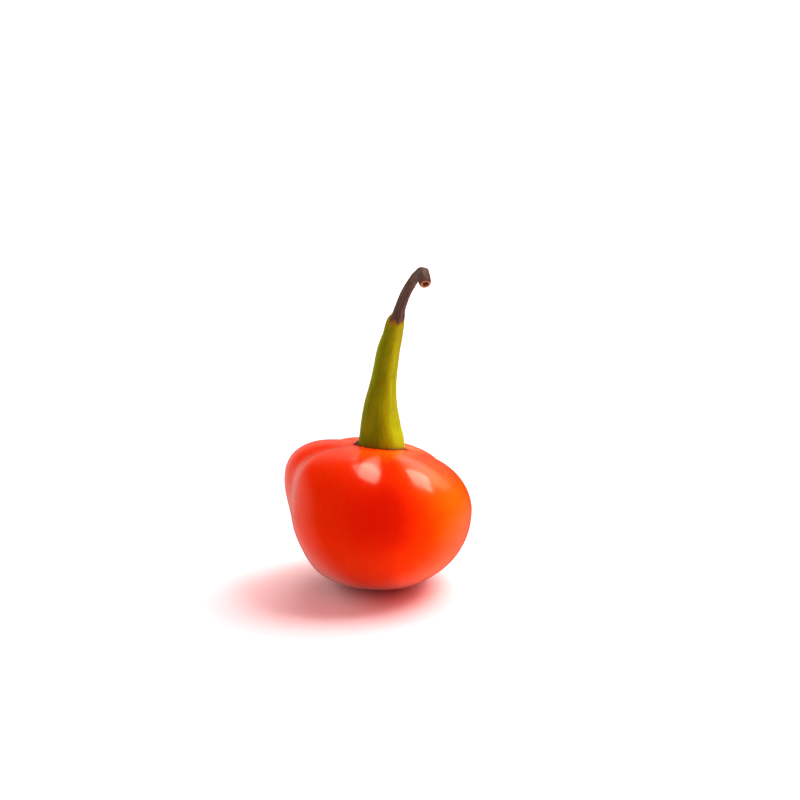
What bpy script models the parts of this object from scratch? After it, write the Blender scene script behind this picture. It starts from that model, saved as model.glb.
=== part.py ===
"""A bode pepper, as picked: a squat lobed fruit and its hooked stem, resting on a small flat spot.

Metres, +Z up. The origin is the centre of the flat spot under the fruit, and the side seen from the front faces -Y.
The fruit and the stem are shaped about the fruit's own axis, calyx end up, and then lean together.
"""

import math

import bmesh
import bpy
from mathutils import Matrix, Vector

MM = 0.001

# How the fruit's axis leans from upright, to the right and away from the front
LEAN_RIGHT = math.radians(3.4)
LEAN_BACK = math.radians(7.0)

# Body of the fruit, measured from the middle of its widest level
FRUIT_RADIUS = 9.07 * MM
SHOULDER_HEIGHT = 6.05 * MM
BELLY_DEPTH = 7.65 * MM
FLAT_SPOT_DEPTH = 0.2 * MM

# How square the upper and lower halves are, 2 being round: the shoulder is boxy on the left and sloped on the right
SHOULDER_SQUARENESS = 2.87
SHOULDER_SQUARENESS_LEFT = 1.0
BELLY_SQUARENESS = 2.13

# Furrows between the lobes, running down from the calyx: bearing round the axis in degrees (-90 is the front), depth,
# half width in degrees near the calyx and at the widest level, and how far down each fades out
FURROWS = (
    (-90, 0.95 * MM, 15.0, 19.0, 112),
    (-164, 0.50 * MM, 7.0, 12.0, 108),
    (22, 0.70 * MM, 7.0, 9.5, 96),
    (82, 0.50 * MM, 8.0, 12.0, 102),
    (138, 0.50 * MM, 8.0, 12.0, 102),
)
FURROW_START = math.radians(14)
FURROW_FULL = math.radians(60)
FURROW_FADE = math.radians(40)
FURROW_OPENING = (math.radians(30), math.radians(75))

# Broad unevenness of the body: waves round the axis, amount, and bearing of the first crest in degrees
BODY_WAVES = (
    (3, 0.10 * MM, -60),
    (5, 0.07 * MM, 20),
)

# Broad swellings and hollows of the body:
# bearing and angle down from the calyx in degrees, amount outward, half width in degrees
SWELLINGS = (
    (178, 110, -1.28 * MM, 24),
    (185, 140, 0.20 * MM, 20),
    (8, 60, 0.23 * MM, 17),
    (98, 118, -0.35 * MM, 26),
)

# Stem: stations along its middle from the seat, as (right, back, up, radius)
STEM_STATIONS = (
    (0.00 * MM, 0.00 * MM, 0.00 * MM, 2.10 * MM),
    (-0.19 * MM, 0.13 * MM, 1.70 * MM, 1.90 * MM),
    (-0.28 * MM, 0.27 * MM, 3.70 * MM, 1.56 * MM),
    (-0.10 * MM, 0.34 * MM, 6.20 * MM, 1.20 * MM),
    (0.14 * MM, 0.28 * MM, 8.75 * MM, 1.09 * MM),
    (0.45 * MM, 0.14 * MM, 10.30 * MM, 0.94 * MM),
    (0.65 * MM, -0.04 * MM, 11.60 * MM, 0.85 * MM),
    (0.87 * MM, -0.16 * MM, 12.30 * MM, 0.63 * MM),
    (1.02 * MM, -0.32 * MM, 13.05 * MM, 0.49 * MM),
    (1.48 * MM, -0.75 * MM, 14.55 * MM, 0.43 * MM),
    (1.92 * MM, -1.20 * MM, 15.55 * MM, 0.44 * MM),
    (2.25 * MM, -1.75 * MM, 16.21 * MM, 0.45 * MM),
    (2.61 * MM, -2.40 * MM, 16.71 * MM, 0.50 * MM),
    (2.88 * MM, -3.08 * MM, 16.89 * MM, 0.56 * MM),
    (2.96 * MM, -3.66 * MM, 16.58 * MM, 0.64 * MM),
    (3.09 * MM, -4.16 * MM, 16.19 * MM, 0.59 * MM),
)
RIDGE_COUNT = 5
RIDGE_BEARING = math.radians(-70)

# Relief of the ridges as a share of the radius: on the green shaft, the shrivelled dry part and the swollen end
GREEN_RELIEF = 0.045
DRIED_RELIEF = 0.075
END_RELIEF = 0.02

# Where the stem dries out and where its end swells, counted in stations
DRIED_STATIONS = (5.8, 7.2)
SWOLLEN_STATIONS = (11.5, 14.0)

# Calyx rim, the thin dried edge at the foot of the stem, and the gap that keeps it clear of the fruit
CALYX_RADIUS = 2.24 * MM
CALYX_RIM_THICKNESS = 0.30 * MM
CALYX_TEETH = 5
CALYX_TOOTH_REACH = 0.10 * MM
SEAT_GAP = 0.30 * MM

# Cut end of the stem: rounded edge, flat ring and pith hollow, as (outward, share of the end radius)
CUT_END = (
    (0.10 * MM, 0.95),
    (0.16 * MM, 0.82),
    (0.15 * MM, 0.60),
    (0.02 * MM, 0.46),
)

FRUIT_SEGMENTS = 72
FRUIT_RINGS = 34
STEM_SEGMENTS = 30
RINGS_PER_STATION = 3
SEAT_RINGS = 3


def clear_scene():
    for thing in list(bpy.data.objects):
        bpy.data.objects.remove(thing, do_unlink=True)


def smooth_step(low, high, value):
    share = min(max((value - low) / (high - low), 0.0), 1.0)
    return share * share * (3.0 - 2.0 * share)


def furrow_depth(bearing, down):
    """How far the skin sinks at a bearing round the axis and an angle down from the calyx."""
    total = 0.0
    for centre, depth, narrow, wide, fade_end in FURROWS:
        off = (math.degrees(bearing) - centre + 180.0) % 360.0 - 180.0
        end = math.radians(fade_end)
        along = smooth_step(FURROW_START, FURROW_FULL, down) * (1.0 - smooth_step(end - FURROW_FADE, end, down))
        half_width = narrow + (wide - narrow) * smooth_step(*FURROW_OPENING, down)
        total += depth * along * math.exp(-((off / half_width) ** 2))
    return total


def swelling(bearing, down):
    """How far the broad swellings lift the skin, or their hollows sink it."""
    total = 0.0
    for centre, centre_down, amount, half_width in SWELLINGS:
        level = math.radians(centre_down)
        nearness = math.cos(down) * math.cos(level)
        nearness += math.sin(down) * math.sin(level) * math.cos(bearing - math.radians(centre))
        off = math.degrees(math.acos(min(max(nearness, -1.0), 1.0)))
        total += amount * math.exp(-((off / half_width) ** 2))
    return total


def fruit_point(bearing, down):
    """Point of the skin at a bearing round the axis and an angle down from the calyx."""
    towards_right = math.cos(bearing)
    if down < math.pi / 2:
        half_height = SHOULDER_HEIGHT
        power = SHOULDER_SQUARENESS - SHOULDER_SQUARENESS_LEFT * towards_right
    else:
        half_height = BELLY_DEPTH
        power = BELLY_SQUARENESS
    across = math.sin(down)
    along = math.cos(down)
    reach = ((across / FRUIT_RADIUS) ** power + (abs(along) / half_height) ** power) ** (-1.0 / power)
    for count, amount, crest in BODY_WAVES:
        reach += amount * across ** 2 * math.cos(count * (bearing - math.radians(crest)))
    reach += swelling(bearing, down)
    reach -= furrow_depth(bearing, down)
    return Vector((reach * across * math.cos(bearing), reach * across * math.sin(bearing), reach * along))


def seat_point(bearing, radius):
    """Point of the skin at a distance from the axis, on the calyx end."""
    low = 0.0
    high = math.pi / 3
    for _ in range(30):
        middle = (low + high) / 2
        point = fruit_point(bearing, middle)
        if math.hypot(point.x, point.y) < radius:
            low = middle
        else:
            high = middle
    return point


def stem_station(place):
    """Middle and radius of the stem at a place counted in stations, on a smooth curve through them all."""
    last = len(STEM_STATIONS) - 1
    start = min(int(place), last - 1)
    share = place - start
    around = [STEM_STATIONS[min(max(start + step, 0), last)] for step in (-1, 0, 1, 2)]
    blend = []
    for before, here, there, after in zip(*around):
        slope = (there - before) / 2
        next_slope = (after - here) / 2
        rise = there - here
        bend = 3 * rise - 2 * slope - next_slope
        twist = slope + next_slope - 2 * rise
        blend.append(here + share * (slope + share * (bend + share * twist)))
    return Vector(blend[:3]), blend[3]


def stem_rings(seat):
    """Rings of points up the stem, each square to its middle line, and the direction at the cut end."""
    steps = RINGS_PER_STATION * (len(STEM_STATIONS) - 1)
    stations = [stem_station(step / RINGS_PER_STATION) for step in range(steps + 1)]
    side = Vector((1, 0, 0))
    rings = []
    for step, (middle, radius) in enumerate(stations):
        ahead = stations[min(step + 1, steps)][0] - stations[max(step - 1, 0)][0]
        ahead.normalize()
        side = (side - ahead * side.dot(ahead)).normalized()
        other = ahead.cross(side)
        place = step / RINGS_PER_STATION
        relief = GREEN_RELIEF + (DRIED_RELIEF - GREEN_RELIEF) * smooth_step(*DRIED_STATIONS, place)
        relief += (END_RELIEF - DRIED_RELIEF) * smooth_step(*SWOLLEN_STATIONS, place)
        ring = []
        for index in range(STEM_SEGMENTS):
            bearing = 2 * math.pi * index / STEM_SEGMENTS
            reach = radius * (1 + relief * math.cos(RIDGE_COUNT * (bearing - RIDGE_BEARING)))
            ring.append(seat + middle + side * (reach * math.cos(bearing)) + other * (reach * math.sin(bearing)))
        rings.append(ring)
    return rings, ahead


def calyx_rings():
    """Rings from the middle of the underside out to the rim and up over it, a gap above the fruit."""
    lift = Vector((0, 0, SEAT_GAP))
    rings = []
    for step in range(1, SEAT_RINGS + 1):
        ring = []
        for index in range(STEM_SEGMENTS):
            bearing = 2 * math.pi * index / STEM_SEGMENTS
            tooth = CALYX_TOOTH_REACH * math.cos(CALYX_TEETH * (bearing - RIDGE_BEARING))
            ring.append(seat_point(bearing, (CALYX_RADIUS + tooth) * step / SEAT_RINGS) + lift)
        rings.append(ring)
    rings.append([point + Vector((0, 0, CALYX_RIM_THICKNESS)) for point in rings[-1]])
    return rings


def new_object(name, shape, material, parent):
    mesh = bpy.data.meshes.new(name)
    shape.normal_update()
    shape.to_mesh(mesh)
    shape.free()
    mesh.materials.append(material)
    mesh.shade_smooth()
    mesh.set_sharp_from_angle(angle=math.radians(50))
    thing = bpy.data.objects.new(name, mesh)
    thing.parent = parent
    bpy.context.collection.objects.link(thing)
    return thing


def principled(name, colour, roughness, metallic):
    material = bpy.data.materials.new(name)
    material.use_nodes = True
    shader = material.node_tree.nodes["Principled BSDF"]
    shader.inputs["Base Color"].default_value = (*colour, 1.0)
    shader.inputs["Roughness"].default_value = roughness
    shader.inputs["Metallic"].default_value = metallic
    material.diffuse_color = (*colour, 1.0)
    return material


def bridge(shape, lower, upper):
    """Faces between two rings of the same count, facing out when the rings run anticlockwise going up."""
    count = len(lower)
    for index in range(count):
        after = (index + 1) % count
        shape.faces.new((lower[index], lower[after], upper[after], upper[index]))


def make_fruit(parent, lean):
    """The pod: a globe drawn out to the skin's own shape, then cut flat where it rests."""
    shape = bmesh.new()
    bmesh.ops.create_uvsphere(shape, u_segments=FRUIT_SEGMENTS, v_segments=FRUIT_RINGS, radius=1.0)
    for vert in shape.verts:
        down = math.atan2(math.hypot(vert.co.x, vert.co.y), vert.co.z)
        vert.co = fruit_point(math.atan2(vert.co.y, vert.co.x), down)
    upright = lean.transposed() @ Vector((0, 0, 1))
    lowest = min(vert.co.dot(upright) for vert in shape.verts)
    floor = upright * (lowest + FLAT_SPOT_DEPTH)
    geometry = shape.verts[:] + shape.edges[:] + shape.faces[:]
    bmesh.ops.bisect_plane(shape, geom=geometry, plane_co=floor, plane_no=upright, clear_inner=True)
    rim = [vert for vert in shape.verts if vert.is_boundary]
    bmesh.ops.remove_doubles(shape, verts=rim, dist=0.15 * MM)
    rim_edges = [edge for edge in shape.edges if edge.is_boundary]
    spot = bmesh.ops.contextual_create(shape, geom=rim_edges)["faces"][0]
    spot_centre = spot.calc_center_median_weighted()
    bmesh.ops.recalc_face_normals(shape, faces=shape.faces[:])
    skin = principled("glossy red skin", (0.74, 0.045, 0.008), 0.22, 0.0)
    return new_object("fruit", shape, skin, parent), spot_centre


def make_stem(parent):
    """Calyx, shaft, hook and cut end, closed from the underside of the calyx to the pith."""
    shape = bmesh.new()
    seat = fruit_point(0.0, 0.0) + Vector((0, 0, SEAT_GAP))
    shaft, ahead = stem_rings(seat)
    foot = calyx_rings()
    end = shaft[-1]
    end_middle = sum(end, Vector()) / len(end)
    tip = []
    for outward, share in CUT_END:
        tip.append([end_middle + (point - end_middle) * share + ahead * outward for point in end])
    first_clear = 2
    rings = []
    for points in foot + shaft[first_clear:] + tip:
        rings.append([shape.verts.new(point) for point in points])
    for lower, upper in zip(rings, rings[1:]):
        bridge(shape, lower, upper)
    shape.faces.new(reversed(rings[0]))
    shape.faces.new(rings[-1])
    bmesh.ops.recalc_face_normals(shape, faces=shape.faces[:])
    green = principled("green stem skin", (0.21, 0.20, 0.008), 0.55, 0.0)
    return new_object("stem", shape, green, parent)


def main():
    clear_scene()
    lean = Matrix.Rotation(LEAN_RIGHT, 3, "Y") @ Matrix.Rotation(-LEAN_BACK, 3, "X")
    own_axis = bpy.data.objects.new("own_axis", None)
    bpy.context.collection.objects.link(own_axis)
    fruit, spot_centre = make_fruit(own_axis, lean)
    make_stem(own_axis)
    own_axis.matrix_world = Matrix.Translation(-(lean @ spot_centre)) @ lean.to_4x4()
    bpy.context.view_layer.update()


main()
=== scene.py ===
import math

import bpy
from mathutils import Matrix, Vector, noise


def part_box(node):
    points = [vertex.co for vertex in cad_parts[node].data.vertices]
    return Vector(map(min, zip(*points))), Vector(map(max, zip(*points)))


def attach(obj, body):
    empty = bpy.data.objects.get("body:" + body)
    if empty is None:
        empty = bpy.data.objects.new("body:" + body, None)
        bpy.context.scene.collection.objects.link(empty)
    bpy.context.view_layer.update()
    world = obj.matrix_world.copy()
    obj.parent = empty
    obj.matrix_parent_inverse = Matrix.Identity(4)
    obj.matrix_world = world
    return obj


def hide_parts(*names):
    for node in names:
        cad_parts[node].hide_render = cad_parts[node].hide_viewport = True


# The looks of one bode pepper, as picked: a squat lobed fruit and its hooked stem, on a plain pale floor.
# Fruit and stem are shaped about the fruit's own axis, calyx end up, and then lean together into the frame.

MM = 0.001

# How the fruit's axis leans from upright, to the right and away from the front
LEAN_RIGHT = math.radians(3.4)
LEAN_BACK = math.radians(7.0)

# Body of the fruit, measured from the middle of its widest level
FRUIT_RADIUS = 9.07 * MM
SHOULDER_HEIGHT = 6.05 * MM
BELLY_DEPTH = 7.65 * MM
FLAT_SPOT_DEPTH = 0.2 * MM

# How square the upper and lower halves are, 2 being round:
# the shoulder is boxy on the left and sloped on the right
SHOULDER_SQUARENESS = 2.87
SHOULDER_SQUARENESS_LEFT = 1.0
BELLY_SQUARENESS = 2.13

# Furrows between the lobes, running down from the calyx:
# bearing round the axis in degrees (-90 is the front), depth, half width in degrees near the calyx
# and at the widest level, and how far down each fades out
FURROWS = (
    (-90, 0.95 * MM, 15.0, 19.0, 112),
    (-164, 0.50 * MM, 7.0, 12.0, 108),
    (22, 0.70 * MM, 7.0, 9.5, 96),
    (82, 0.50 * MM, 8.0, 12.0, 102),
    (138, 0.50 * MM, 8.0, 12.0, 102),
)
FURROW_START = math.radians(14)
FURROW_FULL = math.radians(60)
FURROW_FADE = math.radians(40)
FURROW_OPENING = (math.radians(30), math.radians(75))

# Broad unevenness of the body: waves round the axis, amount, and bearing of the first crest in degrees
BODY_WAVES = (
    (3, 0.10 * MM, -60),
    (5, 0.07 * MM, 20),
)

# Broad swellings and hollows of the body:
# bearing and angle down from the calyx in degrees, amount outward, half width in degrees
SWELLINGS = (
    (178, 110, -1.28 * MM, 24),
    (185, 140, 0.20 * MM, 20),
    (8, 60, 0.23 * MM, 17),
    (98, 118, -0.35 * MM, 26),
)

# Fine relief of the skin: puckers round the calyx, which rise and fall away at these angles down from it,
# soft unevenness in broad and small waves (size, depth), and the blossom scar
PUCKER_DEPTH = 0.05 * MM
PUCKER_RISE = (math.radians(8), math.radians(18))
PUCKER_FALL = (math.radians(20), math.radians(40))
PUCKER_SCALE = 6.0
PUCKER_STRETCH = 1.5
UNEVEN = ((3.6 * MM, 0.055 * MM), (1.3 * MM, 0.010 * MM))
SCAR_RADIUS = 0.55 * MM
SCAR_DEPTH = 0.14 * MM

# Stem: stations along its middle from the seat, as (right, back, up, radius)
STEM_STATIONS = (
    (0.00 * MM, 0.00 * MM, 0.00 * MM, 2.10 * MM),
    (-0.19 * MM, 0.13 * MM, 1.70 * MM, 1.90 * MM),
    (-0.28 * MM, 0.27 * MM, 3.70 * MM, 1.56 * MM),
    (-0.10 * MM, 0.34 * MM, 6.20 * MM, 1.20 * MM),
    (0.14 * MM, 0.28 * MM, 8.75 * MM, 1.09 * MM),
    (0.45 * MM, 0.14 * MM, 10.30 * MM, 0.94 * MM),
    (0.65 * MM, -0.04 * MM, 11.60 * MM, 0.85 * MM),
    (0.87 * MM, -0.16 * MM, 12.30 * MM, 0.63 * MM),
    (1.02 * MM, -0.32 * MM, 13.05 * MM, 0.49 * MM),
    (1.48 * MM, -0.75 * MM, 14.55 * MM, 0.43 * MM),
    (1.92 * MM, -1.20 * MM, 15.55 * MM, 0.44 * MM),
    (2.25 * MM, -1.75 * MM, 16.21 * MM, 0.45 * MM),
    (2.61 * MM, -2.40 * MM, 16.71 * MM, 0.50 * MM),
    (2.88 * MM, -3.08 * MM, 16.89 * MM, 0.56 * MM),
    (2.96 * MM, -3.66 * MM, 16.58 * MM, 0.64 * MM),
    (3.09 * MM, -4.16 * MM, 16.19 * MM, 0.59 * MM),
)
RIDGE_COUNT = 5
RIDGE_BEARING = math.radians(-70)
GREEN_RELIEF = 0.045
DRIED_RELIEF = 0.075
END_RELIEF = 0.02
DRIED_STATIONS = (5.8, 7.2)
SWOLLEN_STATIONS = (11.5, 14.0)

# Fine relief of the stem: fibres along the green skin, wrinkles where it dried, blisters all over
FIBRE_DEPTH = 0.028 * MM
WRINKLE_DEPTH = 0.085 * MM
BLISTER_DEPTH = 0.012 * MM
BLISTER_SCALE = 4.0
SWOLLEN_SMOOTHING = 0.3

# Waves of those fibres and wrinkles: scale round the stem, scale and offset along it, and weight
FIBRE_WAVES = (
    (5.0, 0.22, 0.0, 1.0),
    (11.0, 0.5, 40.0, 0.5),
)
WRINKLE_WAVES = (
    (1.9, 0.42, 20.0, 1.0),
    (4.2, 0.9, 60.0, 0.6),
)

# Foot of the stem: it widens into the calyx, whose edge sinks a little into the skin of the fruit
FOOT_RADIUS = 2.20 * MM
FOOT_SINK = 0.12 * MM
FOOT_HEIGHT = 1.6 * MM
FOOT_LOBES = 0.025

# Cut end of the stem, from its rounded edge over the ring to the sunken pith,
# as (outward, share of the end's radius)
CUT_END = (
    (0.08 * MM, 0.98),
    (0.15 * MM, 0.94),
    (0.21 * MM, 0.88),
    (0.25 * MM, 0.81),
    (0.275 * MM, 0.74),
    (0.285 * MM, 0.66),
    (0.28 * MM, 0.58),
    (0.25 * MM, 0.51),
    (0.17 * MM, 0.45),
    (0.09 * MM, 0.39),
    (0.06 * MM, 0.28),
    (0.07 * MM, 0.14),
    (0.07 * MM, 0.0),
)
CUT_ROUGHNESS = 0.03 * MM
CUT_GRAIN = (3.0, 5.0)
CUT_SMOOTH_RIM = 0.97

# Dried edge of the calyx: a thin ragged collar on the fruit round the foot of the stem
COLLAR_INNER = 1.75 * MM
COLLAR_OUTER = 2.27 * MM
COLLAR_RAGGEDNESS = 0.13 * MM
COLLAR_THICKNESS = 0.055 * MM
COLLAR_THICKEST = 1.25
COLLAR_THINNING = 0.75
COLLAR_CURL = 0.16

# Its ragged edge, small teeth and crumples: scale round the axis and offset along it, then their strengths
COLLAR_RAGS = (3.5, 3.0)
COLLAR_TEETH = (12.0, 9.0)
COLLAR_CRUMPLES = (6.0, 2.0)
COLLAR_TEETH_SHARE = 0.6
CRUMPLE_LIFT = 0.3
CRUMPLE_SWELL = 0.4

# Flakes and teeth of that edge: bearing in degrees, reach and half width in degrees
FLAKES = (
    (-163, 0.42 * MM, 17),
    (-128, 0.10 * MM, 9),
    (-62, 0.12 * MM, 6),
    (-12, 0.50 * MM, 4),
    (28, 0.16 * MM, 8),
    (74, 0.34 * MM, 7),
    (121, 0.22 * MM, 10),
    (160, 0.12 * MM, 6),
)

# How finely the pieces are divided
FRUIT_SEGMENTS = 180
FRUIT_RINGS = 88
STEM_SIDES = 144
STEM_ROWS = 320
COLLAR_SIDES = 360
COLLAR_ROWS = 20
MERGE_DISTANCE = 0.0005 * MM

# Search for the skin at a distance from the axis: how far down from the calyx it looks, and its halvings
SEAT_SEARCH_END = math.pi / 3
SEAT_SEARCH_STEPS = 30


def deselect_all():
    if bpy.context.object and bpy.context.object.mode != "OBJECT":
        bpy.ops.object.mode_set(mode="OBJECT")
    bpy.ops.object.select_all(action="DESELECT")


def work_on(thing):
    deselect_all()
    thing.select_set(True)
    bpy.context.view_layer.objects.active = thing


def smooth_step(low, high, value):
    share = min(max((value - low) / (high - low), 0.0), 1.0)
    return share * share * (3.0 - 2.0 * share)


def degrees_past(bearing, centre):
    """Degrees from a centre in degrees to a bearing, the short way round."""
    return (math.degrees(bearing) - centre + 180.0) % 360.0 - 180.0


def furrow_depth(bearing, down):
    """How far the skin sinks at a bearing round the axis and an angle down from the calyx."""
    total = 0.0
    for centre, depth, narrow, wide, fade_end in FURROWS:
        off = degrees_past(bearing, centre)
        end = math.radians(fade_end)
        along = smooth_step(FURROW_START, FURROW_FULL, down)
        along *= 1.0 - smooth_step(end - FURROW_FADE, end, down)
        half_width = narrow + (wide - narrow) * smooth_step(*FURROW_OPENING, down)
        total += depth * along * math.exp(-((off / half_width) ** 2))
    return total


def swelling(bearing, down):
    """How far the broad swellings lift the skin, or their hollows sink it."""
    total = 0.0
    for centre, centre_down, amount, half_width in SWELLINGS:
        level = math.radians(centre_down)
        nearness = math.cos(down) * math.cos(level)
        nearness += math.sin(down) * math.sin(level) * math.cos(bearing - math.radians(centre))
        off = math.degrees(math.acos(min(max(nearness, -1.0), 1.0)))
        total += amount * math.exp(-((off / half_width) ** 2))
    return total


def fruit_point(bearing, down):
    """Point of the skin at a bearing round the axis and an angle down from the calyx."""
    towards_right = math.cos(bearing)
    if down < math.pi / 2:
        half_height = SHOULDER_HEIGHT
        power = SHOULDER_SQUARENESS - SHOULDER_SQUARENESS_LEFT * towards_right
    else:
        half_height = BELLY_DEPTH
        power = BELLY_SQUARENESS
    across = math.sin(down)
    along = math.cos(down)
    reach = ((across / FRUIT_RADIUS) ** power + (abs(along) / half_height) ** power) ** (-1.0 / power)
    for count, amount, crest in BODY_WAVES:
        reach += amount * across ** 2 * math.cos(count * (bearing - math.radians(crest)))
    reach += swelling(bearing, down)
    reach -= furrow_depth(bearing, down)
    return Vector((reach * across * math.cos(bearing), reach * across * math.sin(bearing), reach * along))


def seat_point(bearing, radius):
    """Point of the skin at a distance from the axis, on the calyx end."""
    low = 0.0
    high = SEAT_SEARCH_END
    for _ in range(SEAT_SEARCH_STEPS):
        middle = (low + high) / 2
        point = fruit_point(bearing, middle)
        if math.hypot(point.x, point.y) < radius:
            low = middle
        else:
            high = middle
    return point


def round_axis(bearing, scale, along):
    """Where a bearing and a place along the axis fall in a noise that meets itself all the way round."""
    return Vector((math.cos(bearing) * scale, math.sin(bearing) * scale, along))


def skin_relief(bearing, down, point):
    """Fine relief of the skin, outward: puckers round the calyx, soft unevenness and the blossom scar."""
    fade = smooth_step(*PUCKER_RISE, down)
    fade *= 1.0 - smooth_step(*PUCKER_FALL, down)
    relief = PUCKER_DEPTH * fade * noise.noise(round_axis(bearing, PUCKER_SCALE, down * PUCKER_STRETCH))
    for size, depth in UNEVEN:
        relief += depth * noise.noise(point / size)
    if point.z < 0:
        relief -= SCAR_DEPTH * math.exp(-((math.hypot(point.x, point.y) / SCAR_RADIUS) ** 2))
    return relief


def leaning_place(loose_fruit, lean):
    """Places the leaning fruit in the frame, by the box of the solid it stands for."""
    leaned = [lean @ vert.co for vert in loose_fruit.data.vertices]
    cad_low, cad_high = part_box("fruit")
    shift_x = (cad_low.x + cad_high.x - min(p.x for p in leaned) - max(p.x for p in leaned)) / 2
    shift_y = (cad_low.y + cad_high.y - min(p.y for p in leaned) - max(p.y for p in leaned)) / 2
    shift_z = -(min(p.z for p in leaned) + FLAT_SPOT_DEPTH)
    return Matrix.Translation((shift_x, shift_y, shift_z)) @ lean.to_4x4()


def make_fruit(lean):
    """The pod: a globe drawn out to the skin's shape, set in its place and pressed flat where it rests."""
    deselect_all()
    bpy.ops.mesh.primitive_uv_sphere_add(segments=FRUIT_SEGMENTS, ring_count=FRUIT_RINGS, radius=1.0)
    fruit = bpy.context.object
    fruit.name = fruit.data.name = "fruit_skin"
    grain = fruit.data.attributes.new("grain", "FLOAT_VECTOR", "POINT")
    bearings = []
    for vert in fruit.data.vertices:
        down = math.atan2(math.hypot(vert.co.x, vert.co.y), vert.co.z)
        bearing = math.atan2(vert.co.y, vert.co.x)
        bearings.append((bearing, down))
        grain.data[vert.index].vector = (math.cos(bearing), math.sin(bearing), down)
        vert.co = fruit_point(bearing, down)
    place = leaning_place(fruit, lean)
    for vert, (bearing, down) in zip(fruit.data.vertices, bearings):
        vert.co += vert.co.normalized() * skin_relief(bearing, down, vert.co)
    fruit.data.transform(place)
    for vert in fruit.data.vertices:
        vert.co.z = max(vert.co.z, 0.0)
    work_on(fruit)
    smoothing = fruit.modifiers.new("smoothing", "SUBSURF")
    smoothing.levels = smoothing.render_levels = 1
    bpy.ops.object.modifier_apply(modifier=smoothing.name)
    bpy.ops.object.shade_smooth()
    return fruit, place


def rolled_grid(name, sides, rows, point_at):
    """A flat grid rolled up and closed along its seam; point_at gives point and grain by bearing and row."""
    deselect_all()
    bpy.ops.mesh.primitive_grid_add(x_subdivisions=sides, y_subdivisions=rows, size=2.0)
    thing = bpy.context.object
    thing.name = thing.data.name = name
    grain = thing.data.attributes.new("grain", "FLOAT_VECTOR", "POINT")
    for vert in thing.data.vertices:
        step = round((vert.co.x + 1) / 2 * sides) % sides
        row = round((vert.co.y + 1) / 2 * rows)
        bearing = 2 * math.pi * step / sides
        vert.co, grain.data[vert.index].vector = point_at(bearing, row)
    work_on(thing)
    bpy.ops.object.mode_set(mode="EDIT")
    bpy.ops.mesh.select_all(action="SELECT")
    bpy.ops.mesh.remove_doubles(threshold=MERGE_DISTANCE)
    bpy.ops.mesh.normals_make_consistent(inside=False)
    bpy.ops.object.mode_set(mode="OBJECT")
    bpy.ops.object.shade_smooth()
    return thing


def stem_station(place):
    """Middle and radius of the stem at a place counted in stations, on a smooth curve through them all."""
    last = len(STEM_STATIONS) - 1
    start = min(int(place), last - 1)
    share = place - start
    around = [STEM_STATIONS[min(max(start + step, 0), last)] for step in (-1, 0, 1, 2)]
    blend = []
    for before, here, there, after in zip(*around):
        slope = (there - before) / 2
        next_slope = (after - here) / 2
        rise = there - here
        bend = 3 * rise - 2 * slope - next_slope
        twist = slope + next_slope - 2 * rise
        blend.append(here + share * (slope + share * (bend + share * twist)))
    return Vector(blend[:3]), blend[3]


def stem_frames():
    """Middle, radius, two directions across and the distance along, for each row of the stem."""
    last = len(STEM_STATIONS) - 1
    stations = [stem_station(last * row / STEM_ROWS) for row in range(STEM_ROWS + 1)]
    side = Vector((1, 0, 0))
    travelled = 0.0
    frames = []
    for row, (middle, radius) in enumerate(stations):
        ahead = stations[min(row + 1, STEM_ROWS)][0] - stations[max(row - 1, 0)][0]
        ahead.normalize()
        side = (side - ahead * side.dot(ahead)).normalized()
        if row:
            travelled += (middle - stations[row - 1][0]).length
        frames.append((middle, radius, side, ahead, travelled))
    return frames


def stem_waves(waves, bearing, along):
    """Noise at a bearing round the stem and a distance along it, summed over its waves."""
    total = 0.0
    for scale, stretch, offset, weight in waves:
        total += weight * noise.noise(round_axis(bearing, scale, along * stretch + offset))
    return total


def stem_reach(bearing, place, radius, travelled):
    """Radius of the stem at a bearing, with its ridges, fibres and dried wrinkles."""
    dried = smooth_step(*DRIED_STATIONS, place)
    swollen = smooth_step(*SWOLLEN_STATIONS, place)
    relief = GREEN_RELIEF + (DRIED_RELIEF - GREEN_RELIEF) * dried
    relief += (END_RELIEF - DRIED_RELIEF) * swollen
    along = travelled / MM
    fibre = stem_waves(FIBRE_WAVES, bearing, along)
    wrinkle = stem_waves(WRINKLE_WAVES, bearing, along)
    blister = noise.noise(round_axis(bearing, BLISTER_SCALE * radius / MM, along * BLISTER_SCALE))
    reach = radius * (1 + relief * math.cos(RIDGE_COUNT * (bearing - RIDGE_BEARING)))
    reach += FIBRE_DEPTH * fibre * (1 - dried)
    reach += WRINKLE_DEPTH * wrinkle * dried * (1 - SWOLLEN_SMOOTHING * swollen)
    return reach + BLISTER_DEPTH * blister


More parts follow.
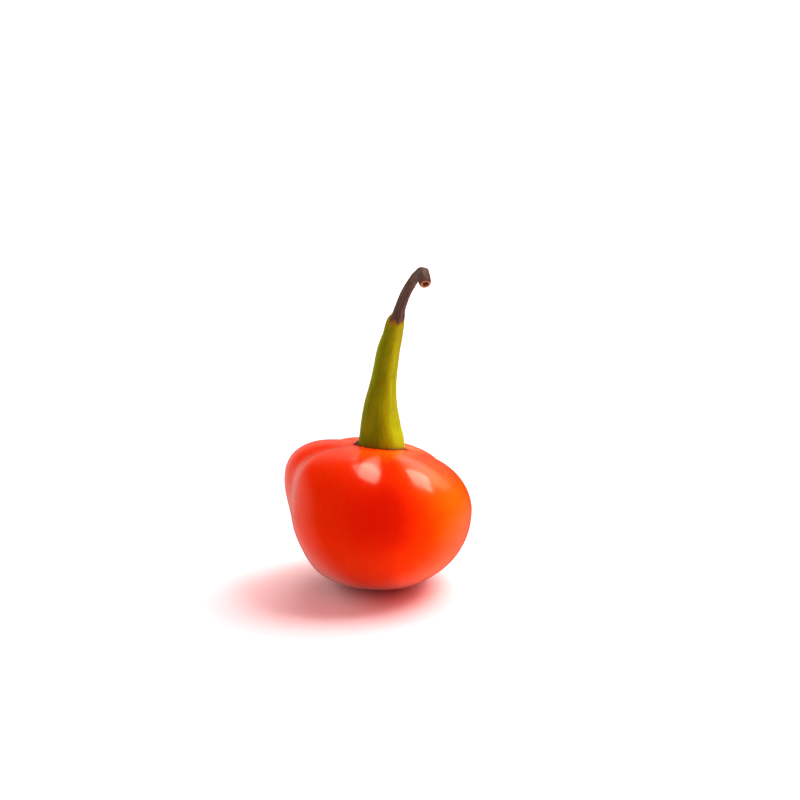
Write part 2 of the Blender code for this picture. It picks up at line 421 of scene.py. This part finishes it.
def make_stem(place):
    """Stem in one skin, from the hidden underside of its foot to the pith of its cut end."""
    seat = fruit_point(0.0, 0.0)
    frames = stem_frames()
    last = len(STEM_STATIONS) - 1
    feet = {}

    def foot_point(bearing):
        if bearing not in feet:
            lobes = 1 + FOOT_LOBES * math.cos(RIDGE_COUNT * (bearing - RIDGE_BEARING))
            feet[bearing] = seat_point(bearing, FOOT_RADIUS * lobes) - Vector((0, 0, FOOT_SINK))
        return feet[bearing]

    def around(bearing, row, share, outward):
        middle, radius, side, ahead, travelled = frames[row]
        reach = share * stem_reach(bearing, last * row / STEM_ROWS, radius, travelled)
        other = ahead.cross(side)
        centre = seat + middle + ahead * outward
        return centre + side * (reach * math.cos(bearing)) + other * (reach * math.sin(bearing))

    def point_at(bearing, row):
        if row == 0:
            return place @ (seat - Vector((0, 0, FOOT_SINK))), (0, 0, 0)
        row -= 1
        if row <= STEM_ROWS:
            travelled = frames[row][4]
            point = around(bearing, row, 1.0, 0.0)
            if travelled < FOOT_HEIGHT:
                foot = foot_point(bearing) + Vector((0, 0, travelled))
                point = foot.lerp(point, smooth_step(0.0, FOOT_HEIGHT, travelled))
            return place @ point, (math.cos(bearing), math.sin(bearing), travelled / MM)
        outward, share = CUT_END[row - STEM_ROWS - 1]
        if 0.0 < share < CUT_SMOOTH_RIM:
            across, along = CUT_GRAIN
            outward += CUT_ROUGHNESS * noise.noise(round_axis(bearing, across * share, along * share))
        point = around(bearing, STEM_ROWS, share, outward)
        grain = (math.cos(bearing) * share, math.sin(bearing) * share, frames[-1][4] / MM + 1 - share)
        return place @ point, grain

    return rolled_grid("stem_skin", STEM_SIDES, STEM_ROWS + len(CUT_END) + 1, point_at)


def collar_edge(bearing):
    """How far out the dried edge of the calyx reaches at a bearing."""
    reach = COLLAR_OUTER + COLLAR_RAGGEDNESS * noise.noise(round_axis(bearing, *COLLAR_RAGS))
    reach += COLLAR_RAGGEDNESS * COLLAR_TEETH_SHARE * abs(noise.noise(round_axis(bearing, *COLLAR_TEETH)))
    for centre, amount, half_width in FLAKES:
        off = degrees_past(bearing, centre)
        reach += amount * math.exp(-((off / half_width) ** 2))
    return reach


def make_collar(place):
    """Dried edge of the calyx: a flattened ring that follows the fruit's skin and curls up at its flakes."""
    edges = {}

    def point_at(bearing, row):
        if bearing not in edges:
            edges[bearing] = collar_edge(bearing)
        outer = edges[bearing]
        turn = 2 * math.pi * (row % COLLAR_ROWS) / COLLAR_ROWS
        share = (1 + math.cos(turn)) / 2
        radius = COLLAR_INNER + (outer - COLLAR_INNER) * share
        skin = seat_point(bearing, radius)
        beyond = max(radius - COLLAR_OUTER, 0.0)
        scale, offset = COLLAR_CRUMPLES
        crumple = noise.noise(round_axis(bearing, scale * radius / COLLAR_OUTER, offset))
        lift = COLLAR_CURL * beyond + CRUMPLE_LIFT * COLLAR_THICKNESS * crumple
        thickness = COLLAR_THICKNESS * (COLLAR_THICKEST - COLLAR_THINNING * share)
        thickness *= 1 + CRUMPLE_SWELL * crumple
        point = skin + Vector((0, 0, lift + thickness * math.sin(turn)))
        return place @ point, (math.cos(bearing) * share, math.sin(bearing) * share, share)

    return rolled_grid("calyx_edge", COLLAR_SIDES, COLLAR_ROWS, point_at)


# Colours of the fruit
RIPENING = (
    (0.00, (0.58, 0.029, 0.0006)),
    (0.30, (0.66, 0.038, 0.0006)),
    (0.65, (0.90, 0.092, 0.0008)),
    (1.00, (0.98, 0.140, 0.0012)),
)
PALE_VEIN = (0.95, 0.07, 0.012, 1)
DEEP_RED = (0.58, 0.008, 0.0005, 1)
# Middle of the painted shade, deep red, on the front of the fruit
FRONT_SHADE_AT = (0.2 * MM, -8.3 * MM, 1.0 * MM)
PALE_FLECK = (1.0, 0.22, 0.06, 1)
PORE_AT = (-0.06 * MM, -3.29 * MM, 5.69 * MM)
PORE_BROWN = (0.10, 0.010, 0.003, 1)
SKIN_SPECULAR = 0.5
WAXY_TINT = (1.0, 0.90, 0.64, 1)

# Marks and gloss of the fruit: noise scales to the metre, stretch of the veins round the axis and along it,
# range of the gloss, depth of the fine pitting, and how far light spreads under the skin
BROAD_SCALE = 190.0
FINE_SCALE = 900.0
PEEL_SCALE = 1500.0
FLECK_SCALE = 2300.0
VEIN_GRAIN = (16.0, 1.6)
SKIN_ROUGHNESS = (0.17, 0.23)
PEEL_DEPTH = 0.010 * MM
SUBSURFACE_RADIUS = (1.0, 0.25, 0.1)
SUBSURFACE_SCALE = 10 * MM

# Colours of the stem, and how far up it, in millimetres, the skin has dried; the greens, its own olive to
# yellow green, also carry painted shade on the left side and painted light on the right
GREENS = (
    (0.00, (0.145, 0.225, 0.0004)),
    (0.35, (0.205, 0.310, 0.0004)),
    (0.60, (0.270, 0.380, 0.0005)),
    (1.00, (0.340, 0.480, 0.0006)),
)
FIBRE_GREEN = (0.30, 0.37, 0.0008, 1)
OLIVE_SHADE = (0.080, 0.085, 0.0004, 1)
RUST = (0.32, 0.19, 0.002, 1)
BROWNS = (
    (0.00, (0.046, 0.034, 0.025)),
    (0.50, (0.078, 0.064, 0.048)),
    (1.00, (0.135, 0.112, 0.084)),
)
GREY_BARK = (0.150, 0.145, 0.120, 1)
YELLOW_EDGE = (0.28, 0.22, 0.004, 1)
FOOT_BROWN = (0.13, 0.065, 0.010, 1)
SPECK_BROWN = (0.055, 0.030, 0.010, 1)
CUT_COLOURS = (
    (0.10, (0.105, 0.070, 0.050)),
    (0.22, (0.120, 0.072, 0.044)),
    (0.31, (0.330, 0.190, 0.095)),
    (0.46, (0.400, 0.225, 0.105)),
    (0.56, (0.110, 0.045, 0.015)),
    (0.75, (0.060, 0.024, 0.010)),
    (1.00, (0.120, 0.055, 0.020)),
)
DRY_HEIGHT = 12.5
DRY_DIP = 0.5
DRY_WANDER = 0.35
STEM_SPECULAR = 0.06
STEM_ROUGHNESS = 0.6
DRIED_EDGE_ROUGHNESS = 0.7
DRIED_EDGE_COLOURS = (
    (0.00, (0.045, 0.015, 0.005)),
    (0.50, (0.130, 0.048, 0.014)),
    (0.85, (0.280, 0.115, 0.035)),
    (1.00, (0.480, 0.270, 0.110)),
)

# Marks of the stem: stretch of its streaks round it and along it, noise scales to the metre, bark depth
FIBRE_GRAIN = (7.0, 0.55)
BLOTCH_GRAIN = (1.6, 0.42)
RUST_GRAIN = (2.4, 0.7)
WANDER_GRAIN = (1.7, 0.8)
SPECK_SCALE = 5200.0
MOTTLE_SCALE = 3200.0
BARK_DEPTH = 0.05 * MM


def add_node(tree, kind, inputs=None, **settings):
    """A node with its settings, its inputs given as values or as the sockets that feed them."""
    made = tree.nodes.new(kind)
    for name, value in settings.items():
        setattr(made, name, value)
    for name, value in (inputs or {}).items():
        if isinstance(value, bpy.types.NodeSocket):
            tree.links.new(value, made.inputs[name])
        else:
            made.inputs[name].default_value = value
    return made


def new_finish(name):
    """A new material and its tree, shader and object coordinates."""
    material = bpy.data.materials.new(name)
    material.use_nodes = True
    tree = material.node_tree
    shader = tree.nodes["Principled BSDF"]
    place = add_node(tree, "ShaderNodeTexCoord").outputs["Object"]
    return material, tree, shader, place


def mix_colour(tree, share, first, second):
    mixed = tree.nodes.new("ShaderNodeMix")
    mixed.data_type = "RGBA"
    for socket, value in ((mixed.inputs[0], share), (mixed.inputs[6], first), (mixed.inputs[7], second)):
        if isinstance(value, bpy.types.NodeSocket):
            tree.links.new(value, socket)
        else:
            socket.default_value = value
    return mixed.outputs[2]


def ramp(tree, factor, stops):
    """A colour ramp with its stops given as (position, colour)."""
    node = add_node(tree, "ShaderNodeValToRGB", {"Fac": factor})
    elements = node.color_ramp.elements
    while len(elements) > 1:
        elements.remove(elements[-1])
    elements[0].position, elements[0].color = stops[0][0], (*stops[0][1], 1.0)
    for position, colour in stops[1:]:
        elements.new(position).color = (*colour, 1.0)
    return node.outputs["Color"]


def remap(tree, value, low, high, new_low=0.0, new_high=1.0, kind="SMOOTHSTEP"):
    inputs = {0: value, 1: low, 2: high, 3: new_low, 4: new_high}
    return add_node(tree, "ShaderNodeMapRange", inputs, interpolation_type=kind).outputs[0]


def combine(tree, operation, first, second):
    return add_node(tree, "ShaderNodeMath", {0: first, 1: second}, operation=operation).outputs[0]


def cloud(tree, at, scale, detail=3.0, roughness=0.5):
    """Soft noise between 0 and 1, centred on a half."""
    inputs = {"Vector": at, "Scale": scale, "Detail": detail, "Roughness": roughness}
    return add_node(tree, "ShaderNodeTexNoise", inputs).outputs["Fac"]


def distance_from(tree, at, point):
    inputs = {0: at, 1: point}
    return add_node(tree, "ShaderNodeVectorMath", inputs, operation="DISTANCE").outputs["Value"]


def own_grain(tree):
    """The piece's own grain, kept in its mesh: round its axis in X and Y, and along it in Z."""
    return add_node(tree, "ShaderNodeAttribute", attribute_name="grain").outputs["Vector"]


def grain_along(tree, across, along):
    """That grain, stretched by one scale round the axis and by another along it."""
    inputs = {"Vector": own_grain(tree), "Scale": (across, across, along)}
    return add_node(tree, "ShaderNodeMapping", inputs).outputs[0]


def own_coordinates(tree, at, place):
    """Coordinates about the fruit's own leaning axis."""
    inputs = {"Vector": at, "Location": place.to_translation(), "Rotation": place.to_euler()}
    return add_node(tree, "ShaderNodeMapping", inputs, vector_type="TEXTURE").outputs[0]


def add_relief(tree, shader, height, strength, depth):
    """Low relief in the shading of a skin."""
    inputs = {"Height": height, "Strength": strength, "Distance": depth}
    relief = add_node(tree, "ShaderNodeBump", inputs).outputs[0]
    tree.links.new(relief, shader.inputs["Normal"])


def red_skin(place):
    """Waxy skin of the fruit: red, orange on the right and round the calyx, with flecks and a pore, and
    painted shade in deep red on its front.
    """
    material, tree, shader, at = new_finish("red_skin")
    own = own_coordinates(tree, at, place)
    axes = add_node(tree, "ShaderNodeSeparateXYZ", {"Vector": own})
    down = add_node(tree, "ShaderNodeSeparateXYZ", {"Vector": own_grain(tree)}).outputs["Z"]
    broad = cloud(tree, own, BROAD_SCALE, 2.0)
    fine = cloud(tree, own, FINE_SCALE, 4.0)
    veins = cloud(tree, grain_along(tree, *VEIN_GRAIN), 1.0, 3.0)

    unripe = remap(tree, axes.outputs["X"], -3.0 * MM, 8.5 * MM)
    unripe = combine(tree, "MULTIPLY", unripe, remap(tree, axes.outputs["Y"], -6.0 * MM, 1.5 * MM, 1.0, 0.55))
    unripe = combine(tree, "MULTIPLY", unripe, remap(tree, broad, 0.30, 0.62, 0.75, 1.05))
    uneven_down = combine(tree, "ADD", down, remap(tree, broad, 0.3, 0.7, -0.12, 0.12))
    halo = remap(tree, uneven_down, 0.35, 1.05, 0.85, 0.0)
    halo = combine(tree, "MULTIPLY", halo, remap(tree, axes.outputs["X"], -4.0 * MM, 4.0 * MM, 0.6, 1.0))
    unripe = combine(tree, "MAXIMUM", unripe, halo)
    body = ramp(tree, unripe, RIPENING)
    # Painted shade: deep red on the front of the fruit, strongest near its middle and gone 5 mm away
    from_front_shade = distance_from(tree, own, FRONT_SHADE_AT)
    body = mix_colour(tree, remap(tree, from_front_shade, 1.0 * MM, 5.0 * MM, 0.7, 0.0), body, DEEP_RED)
    body = mix_colour(tree, remap(tree, veins, 0.35, 0.7, 0.0, 0.04), body, PALE_VEIN)
    body = mix_colour(tree, remap(tree, fine, 0.52, 0.75, 0.0, 0.12), body, DEEP_RED)

    cells = add_node(tree, "ShaderNodeTexVoronoi", {"Vector": own, "Scale": FLECK_SCALE})
    fleck = remap(tree, cells.outputs["Distance"], 0.10, 0.24, 0.05, 0.0)
    chance = add_node(tree, "ShaderNodeSeparateColor", {"Color": cells.outputs["Color"]}).outputs[0]
    fleck = combine(tree, "MULTIPLY", fleck, remap(tree, chance, 0.45, 0.75))
    body = mix_colour(tree, fleck, body, PALE_FLECK)
    from_pore = distance_from(tree, own, PORE_AT)
    body = mix_colour(tree, remap(tree, from_pore, 0.05 * MM, 0.13 * MM, 0.85, 0.0), body, PORE_BROWN)
    tree.links.new(body, shader.inputs["Base Color"])

    rough = remap(tree, fine, 0.3, 0.7, *SKIN_ROUGHNESS)
    rough = combine(tree, "ADD", rough, remap(tree, fleck, 0.0, 0.2, 0.0, 0.06))
    tree.links.new(rough, shader.inputs["Roughness"])
    peel = combine(tree, "ADD", cloud(tree, own, PEEL_SCALE, 2.0), combine(tree, "MULTIPLY", fleck, -0.35))
    add_relief(tree, shader, peel, 0.4, PEEL_DEPTH)
    shader.inputs["Specular IOR Level"].default_value = SKIN_SPECULAR
    shader.inputs["Specular Tint"].default_value = WAXY_TINT
    shader.inputs["Subsurface Weight"].default_value = 1.0
    shader.inputs["Subsurface Radius"].default_value = SUBSURFACE_RADIUS
    shader.inputs["Subsurface Scale"].default_value = SUBSURFACE_SCALE
    return material


def stem_finish():
    """Stem skin: olive green below, dried brown above, tan and dark at its cut end, streaked along it; its
    green is painted lighter on the right side and darker on the left, as painted light and shade.
    """
    material, tree, shader, at = new_finish("green_and_dried_stem")
    axes = add_node(tree, "ShaderNodeSeparateXYZ", {"Vector": own_grain(tree)})
    fibre = cloud(tree, grain_along(tree, *FIBRE_GRAIN), 1.0, 5.0, 0.6)
    blotch = cloud(tree, grain_along(tree, *BLOTCH_GRAIN), 1.0, 3.0)
    speck = cloud(tree, at, SPECK_SCALE, 3.0)

    # Painted light and shade: the green turns lighter towards the right side of the stem and darker towards
    # the left, with random blotches added
    painted_lit_side_and_blotch = remap(tree, axes.outputs["X"], -0.30, 0.60, 0.0, 0.62)
    painted_lit_side_and_blotch = combine(tree, "ADD", painted_lit_side_and_blotch, remap(tree, blotch, 0.3, 0.7, -0.05, 0.38))
    green = ramp(tree, painted_lit_side_and_blotch, GREENS)
    green = mix_colour(tree, remap(tree, fibre, 0.5, 0.75, 0.0, 0.25), green, FIBRE_GREEN)
    green = mix_colour(tree, remap(tree, fibre, 0.5, 0.28, 0.0, 0.20), green, OLIVE_SHADE)
    rust = cloud(tree, grain_along(tree, *RUST_GRAIN), 1.0, 4.0)
    green = mix_colour(tree, remap(tree, rust, 0.60, 0.74, 0.0, 0.4), green, RUST)
    brown = ramp(tree, remap(tree, fibre, 0.25, 0.75, kind="LINEAR"), BROWNS)
    brown = mix_colour(tree, remap(tree, blotch, 0.5, 0.7, 0.0, 0.5), brown, GREY_BARK)

    wander = cloud(tree, grain_along(tree, *WANDER_GRAIN), 1.0, 4.0)
    wander = remap(tree, wander, 0.25, 0.75, -DRY_WANDER, DRY_WANDER, "LINEAR")
    wander = combine(tree, "SUBTRACT", wander, combine(tree, "MULTIPLY", axes.outputs["Y"], DRY_DIP))
    height = combine(tree, "ADD", axes.outputs["Z"], wander)
    edge = remap(tree, height, DRY_HEIGHT - 0.5, DRY_HEIGHT + 0.1)
    body = mix_colour(tree, edge, green, YELLOW_EDGE)
    body = mix_colour(tree, remap(tree, height, DRY_HEIGHT - 0.1, DRY_HEIGHT + 0.35), body, brown)
    body = mix_colour(tree, remap(tree, axes.outputs["Z"], 0.35, 0.12, 0.0, 0.6), body, FOOT_BROWN)
    end = combine(tree, "SUBTRACT", axes.outputs["Z"], stem_frames()[-1][4] / MM)
    end = combine(tree, "ADD", end, remap(tree, speck, 0.3, 0.7, -0.05, 0.05))
    cut = ramp(tree, end, CUT_COLOURS)
    body = mix_colour(tree, remap(tree, end, 0.02, 0.10), body, cut)
    body = mix_colour(tree, remap(tree, speck, 0.60, 0.72, 0.0, 0.35), body, SPECK_BROWN)
    tree.links.new(body, shader.inputs["Base Color"])
    shader.inputs["Roughness"].default_value = STEM_ROUGHNESS
    shader.inputs["Specular IOR Level"].default_value = STEM_SPECULAR
    ridges = combine(tree, "ADD", fibre, combine(tree, "MULTIPLY", speck, 0.4))
    add_relief(tree, shader, ridges, 0.6, BARK_DEPTH)
    return material


def dried_edge():
    """Dried calyx edge: dark brown, mottled with tan."""
    material, tree, shader, at = new_finish("dried_calyx_edge")
    mottle = cloud(tree, at, MOTTLE_SCALE, 4.0, 0.6)
    body = ramp(tree, remap(tree, mottle, 0.3, 0.72, kind="LINEAR"), DRIED_EDGE_COLOURS)
    tree.links.new(body, shader.inputs["Base Color"])
    shader.inputs["Roughness"].default_value = DRIED_EDGE_ROUGHNESS
    shader.inputs["Specular IOR Level"].default_value = STEM_SPECULAR
    add_relief(tree, shader, mottle, 0.7, BARK_DEPTH)
    return material


def plain_white():
    material, _, shader, _ = new_finish("white_floor")
    shader.inputs["Base Color"].default_value = FLOOR_WHITE
    shader.inputs["Roughness"].default_value = FLOOR_ROUGHNESS
    shader.inputs["Specular IOR Level"].default_value = 0.0
    return material


# Studio: sizes and places in metres
FLOOR_SIZE = 0.76
FLOOR_DROP = 0.02 * MM
FLOOR_WHITE = (0.93, 0.88, 0.88, 1)
FLOOR_ROUGHNESS = 0.9
CAMERA_DISTANCE = 0.26
CAMERA_HEIGHT_ANGLE = math.radians(21.2)
CAMERA_AIM = Vector((1.86 * MM, 0.0, 17.95 * MM))
CAMERA_LENS = 122.1
LIGHT_AIM = Vector((0.0, 0.0, 10 * MM))

# Lights: where each stands (degrees to the right of straight behind, degrees up), distance, size, power, and
# whether the skin mirrors it
SOFTBOXES = (
    ("lamp", (61, 54), 0.45, 0.28, 1.65, True),
    ("back_fill", (36, 44), 0.60, 0.85, 5.6, False),
    ("left_fill", (-66, 22), 0.60, 0.50, 1.5, False),
)

# What a glossy skin mirrors: soft glows at (degrees right of straight behind, degrees up),
# reach in degrees, and light; straight down it is the floor in the fruit's own red shade
MIRRORED_GLOWS = (
    ((-54, -20), 52, (0.75, 0.70, 0.67)),
    ((54, -40), 44, (0.45, 0.43, 0.40)),
    ((30, 35), 30, (1.7, 1.6, 1.4)),
    ((-14, 18), 42, (0.36, 0.34, 0.31)),
    ((0, -90), 78, (0.40, 0.08, 0.07)),
)
DARK_STUDIO = (0.015, 0.012, 0.010)

# Ambient light on matt surfaces, pinkish from the left and red from the right, and how gradually it turns
AMBIENT_LEFT = (0.45, 0.28, 0.28, 1)
AMBIENT_RIGHT = (1.02, 0.05, 0.05, 1)
AMBIENT_TURN = 0.5
BACKDROP_WHITE = (1, 1, 1, 1)


def towards(right, up):
    """Direction from the pepper, by degrees to the right of straight behind and degrees up."""
    right, up = math.radians(right), math.radians(up)
    return Vector((math.sin(right) * math.cos(up), math.cos(right) * math.cos(up), math.sin(up)))


def set_floor():
    deselect_all()
    bpy.ops.mesh.primitive_plane_add(size=FLOOR_SIZE, location=(0, 0, -FLOOR_DROP))
    floor = bpy.context.object
    floor.name = "pale_floor"
    floor.data.materials.append(plain_white())
    floor.visible_glossy = False


def set_softboxes():
    for name, place, distance, size, power, mirrored in SOFTBOXES:
        light = bpy.data.lights.new(name, "AREA")
        light.shape = "SQUARE"
        light.size = size
        light.energy = power
        softbox = bpy.data.objects.new(name, light)
        bpy.context.collection.objects.link(softbox)
        softbox.location = LIGHT_AIM + towards(*place) * distance
        softbox.rotation_euler = (-towards(*place)).to_track_quat("-Z", "Y").to_euler()
        softbox.visible_glossy = mirrored


def set_surroundings():
    """Surroundings: soft glows to glossy skin, red-tinted ambient light to the rest, white to the camera."""
    world = bpy.data.worlds.new("studio")
    bpy.context.scene.world = world
    world.use_nodes = True
    tree = world.node_tree
    tree.nodes.clear()
    direction = add_node(tree, "ShaderNodeTexCoord").outputs["Generated"]
    mirrored = DARK_STUDIO
    for place, reach, light in MIRRORED_GLOWS:
        inputs = {0: direction, 1: towards(*place)}
        nearness = add_node(tree, "ShaderNodeVectorMath", inputs, operation="DOT_PRODUCT").outputs["Value"]
        share = remap(tree, nearness, math.cos(math.radians(reach)), 1.0)
        inputs = {0: light, 1: share, 2: mirrored}
        mirrored = add_node(tree, "ShaderNodeVectorMath", inputs, operation="MULTIPLY_ADD").outputs["Vector"]
    rays = add_node(tree, "ShaderNodeLightPath")
    side = add_node(tree, "ShaderNodeSeparateXYZ", {"Vector": direction}).outputs["X"]
    ambient = mix_colour(tree, remap(tree, side, -AMBIENT_TURN, AMBIENT_TURN), AMBIENT_LEFT, AMBIENT_RIGHT)
    colour = mix_colour(tree, rays.outputs["Is Diffuse Ray"], mirrored, ambient)
    colour = mix_colour(tree, rays.outputs["Is Camera Ray"], colour, BACKDROP_WHITE)
    background = add_node(tree, "ShaderNodeBackground", {"Color": colour, "Strength": 1.0})
    add_node(tree, "ShaderNodeOutputWorld", {"Surface": background.outputs[0]})


def set_camera():
    camera = bpy.data.cameras.new("camera")
    camera.lens = CAMERA_LENS
    holder = bpy.data.objects.new("camera", camera)
    bpy.context.collection.objects.link(holder)
    back = Vector((0, -math.cos(CAMERA_HEIGHT_ANGLE), math.sin(CAMERA_HEIGHT_ANGLE)))
    holder.location = back * CAMERA_DISTANCE
    holder.rotation_euler = (CAMERA_AIM - holder.location).to_track_quat("-Z", "Y").to_euler()
    bpy.context.scene.camera = holder


def dress(piece, node, material):
    """The piece stands for a solid of the frame, wears its finish and moves with the body."""
    piece.data.materials.clear()
    piece.data.materials.append(material)
    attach(piece, "root")
    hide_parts(node)


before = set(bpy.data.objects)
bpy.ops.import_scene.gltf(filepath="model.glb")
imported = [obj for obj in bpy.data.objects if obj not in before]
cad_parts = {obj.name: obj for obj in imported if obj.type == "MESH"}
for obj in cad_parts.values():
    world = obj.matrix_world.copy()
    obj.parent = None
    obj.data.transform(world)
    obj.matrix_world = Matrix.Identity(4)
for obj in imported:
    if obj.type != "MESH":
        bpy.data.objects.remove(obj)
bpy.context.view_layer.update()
lean_turn = Matrix.Rotation(LEAN_RIGHT, 3, "Y") @ Matrix.Rotation(-LEAN_BACK, 3, "X")
fruit_skin, own_place = make_fruit(lean_turn)
dress(fruit_skin, "fruit", red_skin(own_place))
stem_skin = make_stem(own_place)
dress(stem_skin, "stem", stem_finish())
calyx_edge = make_collar(own_place)
dress(calyx_edge, "stem", dried_edge())
set_floor()
set_softboxes()
set_surroundings()
set_camera()
bpy.context.scene.view_settings.view_transform = "Standard"
